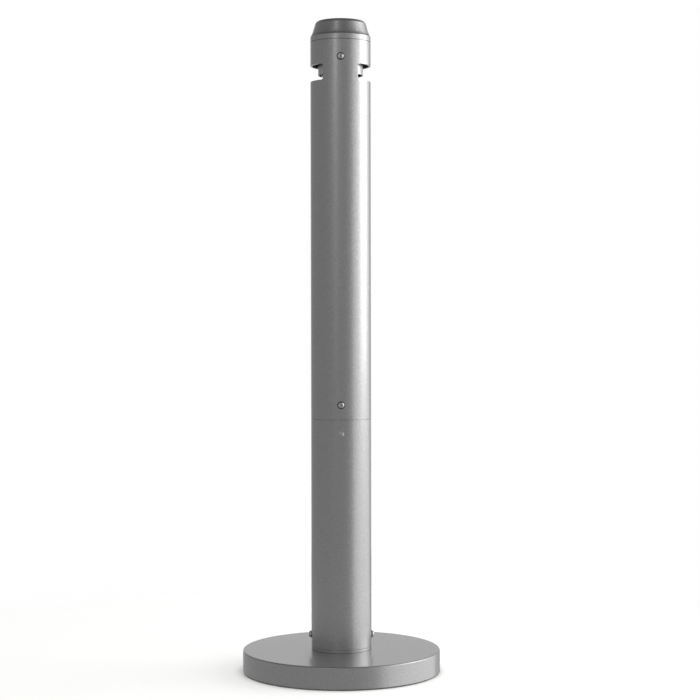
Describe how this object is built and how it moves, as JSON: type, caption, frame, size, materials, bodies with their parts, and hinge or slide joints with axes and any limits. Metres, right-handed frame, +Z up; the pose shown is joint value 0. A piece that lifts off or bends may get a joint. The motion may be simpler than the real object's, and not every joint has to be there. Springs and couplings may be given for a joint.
{
  "type": "free-standing cigarette receptacle",
  "caption": "Slim silver smokers' pole on a round weighted base, with side slots under a domed head and a lift-out canister inside.",
  "frame": {"origin": "centre of the footprint, on the floor under the rubber feet", "axes": "+Z up along the post; -Y is the front with the lock screw; the two slots face +X and -X"},
  "size_m": [0.333, 0.333, 1.0964],
  "materials": {
    "silver_paint": "semi-gloss metallic silver powder coat",
    "concrete": "rough cast concrete",
    "zinc_steel": "bright zinc plated",
    "stainless_screws": "bright stainless steel",
    "black_rubber": "matt moulded rubber",
    "black_nylon": "matt nylon",
    "mill_aluminium": "turned, uncoated",
    "galvanised_sheet": "galvanised with a faint spangle",
    "zinc_wire": "drawn and zinc plated"
  },
  "bodies": {
    "lower_pole": {"base_cover": "silver_paint", "base_ballast": "concrete", "base_plate": "zinc_steel", "rubber_feet": "black_rubber", "foot_screws": "zinc_steel", "socket_bolts": "zinc_steel", "socket_washers": "zinc_steel", "socket_gasket": "black_rubber", "pole_socket": "silver_paint", "lower_tube": "silver_paint", "base_screws": "stainless_screws", "base_screw_washers": "stainless_screws", "coupling_ring": "mill_aluminium", "coupling_rivets": "mill_aluminium"},
    "upper_pole": {"upper_tube": "silver_paint", "lock_nut": "zinc_steel", "head_collar": "silver_paint", "head_dome": "silver_paint", "head_screws": "stainless_screws", "head_screw_washers": "black_nylon", "baffle_tube": "mill_aluminium", "dome_screws": "zinc_steel", "dome_washers": "zinc_steel"},
    "canister": {"canister_body": "galvanised_sheet", "canister_bottom": "galvanised_sheet", "canister_rim": "galvanised_sheet", "canister_ears": "galvanised_sheet", "ear_rivets": "mill_aluminium"},
    "bail": {"canister_bail": "zinc_wire"},
    "lock_washer": {"lock_washer": "black_nylon"},
    "lock_screw": {"lock_screw": "stainless_screws"}
  },
  "joints": [
    {"name": "upper_pole_lift", "type": "slide", "parent": "lower_pole", "child": "upper_pole", "axis": [0, 0, 1], "range_m": [0, 0.1]},
    {"name": "canister_lift", "type": "slide", "parent": "lower_pole", "child": "canister", "axis": [0, 0, 1], "range_m": [0, 0.44]},
    {"name": "bail_swing", "type": "hinge", "parent": "canister", "child": "bail", "pos_m": [0, 0, 0.47825], "axis": [1, 0, 0], "range_deg": [0, 180]},
    {"name": "lock_screw_travel", "type": "slide", "parent": "upper_pole", "child": "lock_washer", "axis": [0, -1, 0], "range_m": [0, 0.0031]},
    {"name": "lock_screw_turn", "type": "hinge", "parent": "lock_washer", "child": "lock_screw", "pos_m": [0, -0.0508, 0.4521], "axis": [0, -1, 0], "range_deg": [0, 1080]}
  ],
  "couplings": [
    {"joint": "lock_screw_travel", "follows": "lock_screw_turn", "m_per_rad": 0.00015915}
  ]
}
